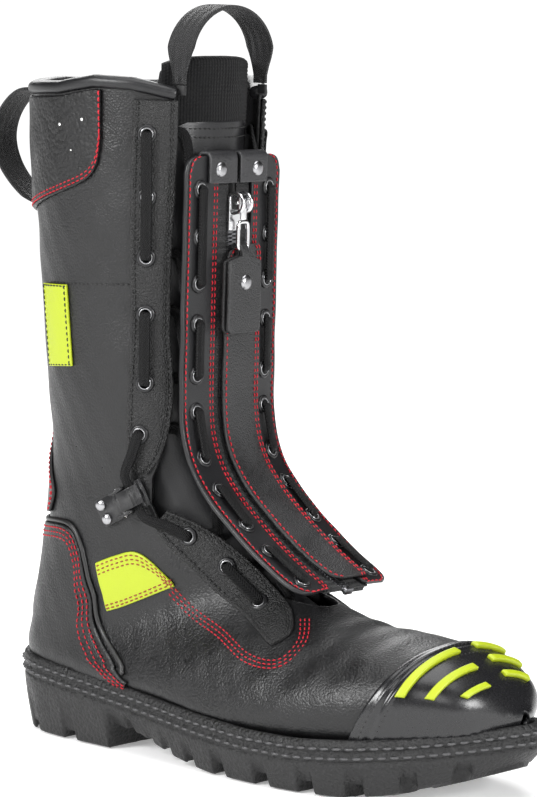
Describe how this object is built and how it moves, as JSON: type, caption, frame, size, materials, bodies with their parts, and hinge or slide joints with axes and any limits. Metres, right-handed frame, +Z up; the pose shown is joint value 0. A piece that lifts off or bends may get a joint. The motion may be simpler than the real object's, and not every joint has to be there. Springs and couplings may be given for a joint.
{
  "type": "fire boot",
  "caption": "High lace-up leather fire boot for the right foot with a front zip unit, cleated sole, toe bumper, hi-vis patches and two pull loops.",
  "frame": {"origin": "on the ground plane under the middle of the overall bounding box", "axes": "+X towards the toe, +Y towards the inner side of the foot, +Z up the shaft"},
  "size_m": [0.339, 0.1133, 0.373],
  "materials": {
    "leather": "satin",
    "smooth_leather": "satin",
    "sole_rubber": "matte",
    "steel": "brushed",
    "board": "matte",
    "textile": "matte",
    "foam": "matte",
    "hi_vis": "satin",
    "zip_teeth": "satin",
    "bright_metal": "polished",
    "cord": "matte",
    "webbing": "matte",
    "hard_plastic": "satin"
  },
  "bodies": {
    "boot": {"outsole": "sole_rubber", "midsole": "sole_rubber", "shank": "steel", "puncture_plate": "board", "insole_board": "board", "footbed": "textile", "lining_shaft": "textile", "lining_foot": "textile", "collar_padding": "foam", "toe_cap": "steel", "heel_stiffener": "board", "quarter_lateral": "leather", "quarter_medial": "leather", "vamp": "leather", "heel_counter": "leather", "back_stay": "leather", "collar_cuff": "leather", "collar_binding": "textile", "facing_upper_lateral": "leather", "facing_upper_medial": "leather", "facing_lower_lateral": "leather", "facing_lower_medial": "leather", "ankle_patch_lateral": "hi_vis", "ankle_patch_medial": "hi_vis", "shaft_patches": "hi_vis", "toe_bumper": "smooth_leather", "toe_bars": "hi_vis", "tongue_leather": "smooth_leather", "tongue_padding": "textile", "zip_tape_lateral": "textile", "zip_tape_medial": "textile", "teeth_lateral": "zip_teeth", "teeth_medial": "zip_teeth", "bottom_stop": "zip_teeth", "zip_strip_lateral": "leather", "zip_strip_medial": "leather", "zip_cover_flap": "smooth_leather", "hook_loop_patch": "textile", "keepers": "hard_plastic", "keeper_rivets": "bright_metal", "eyelets_facing_lateral": "bright_metal", "eyelets_facing_medial": "bright_metal", "eyelets_strip_lateral": "bright_metal", "eyelets_strip_medial": "bright_metal", "lace_lateral": "cord", "lace_medial": "cord", "lock_base": "hard_plastic", "lock_pin": "bright_metal", "lock_rivets": "bright_metal", "loop_anchors": "webbing"},
    "slider": {"zip_slider": "bright_metal", "puller_pin": "bright_metal"},
    "puller": {"slider_puller": "bright_metal"},
    "strap": {"pull_strap": "leather", "strap_snap": "bright_metal"},
    "lever": {"lock_lever": "hard_plastic"},
    "front_pull": {"front_loop": "webbing"},
    "rear_pull": {"rear_loop": "webbing"}
  },
  "joints": [
    {"name": "zip_slide", "type": "slide", "parent": "boot", "child": "slider", "axis": [0, 0, -1], "range_m": [0, 0.036], "deforming": ["zip_cover_flap"]},
    {"name": "puller_swing", "type": "hinge", "parent": "slider", "child": "puller", "pos_m": [-0.0072, -0.002, 0.276], "axis": [0, -1, 0], "range_deg": [0, 100]},
    {"name": "strap_swing", "type": "hinge", "parent": "puller", "child": "strap", "pos_m": [-0.0065, -0.002, 0.2528], "axis": [0, -1, 0], "range_deg": [0, 70]},
    {"name": "lock_lever_lift", "type": "hinge", "parent": "boot", "child": "lever", "pos_m": [-0.04489, -0.04532, 0.12623], "axis": [0.4582, 0.1345, -0.8786], "range_deg": [0, 75]},
    {"name": "front_loop_fold", "type": "hinge", "parent": "boot", "child": "front_pull", "pos_m": [-0.0234, -0.002, 0.338], "axis": [0, 1, 0], "range_deg": [-6, 70]},
    {"name": "rear_loop_fold", "type": "hinge", "parent": "boot", "child": "rear_pull", "pos_m": [-0.1336, -0.002, 0.322], "axis": [-0.0783, 0, 0.9969], "range_deg": [-70, 70]}
  ]
}
